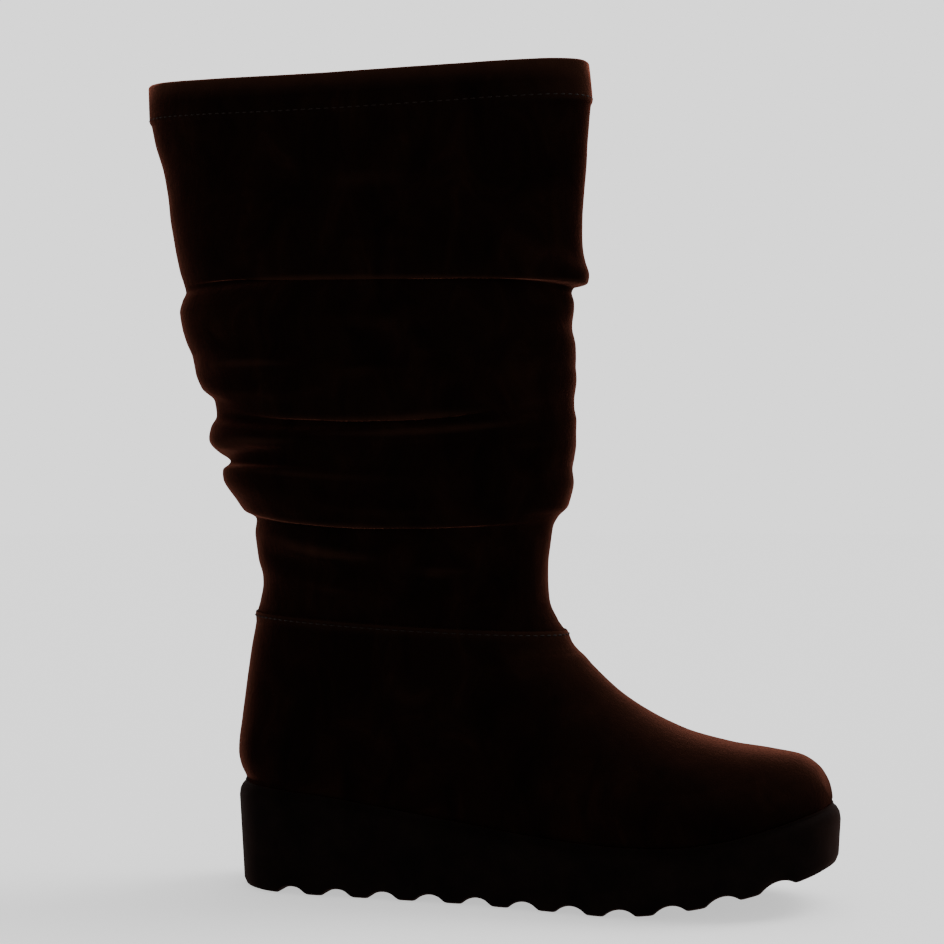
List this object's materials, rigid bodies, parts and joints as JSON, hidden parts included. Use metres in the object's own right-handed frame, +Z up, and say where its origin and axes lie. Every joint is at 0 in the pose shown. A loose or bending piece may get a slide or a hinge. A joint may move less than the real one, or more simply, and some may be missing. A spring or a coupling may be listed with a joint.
{
  "type": "slouch boot",
  "caption": "Pull-on mid-calf slouch boot with stacked shaft folds, a lasted suede foot and a thick lugged flatform sole.",
  "frame": {"origin": "on the ground, at the middle of the tread lug under the heel seat", "axes": "+X to the toe, +Z up along the shaft, +Y to the inner side of the foot"},
  "size_m": [0.3147, 0.0968, 0.3636],
  "materials": {
    "suede": "black suede with a faint warm brown nap",
    "sole": "matt black moulded rubber",
    "insole": "black brushed lining cloth"
  },
  "bodies": {
    "root": {"outsole": "sole", "insole": "insole", "upper": "suede", "shaft": "suede"}
  },
  "joints": []
}
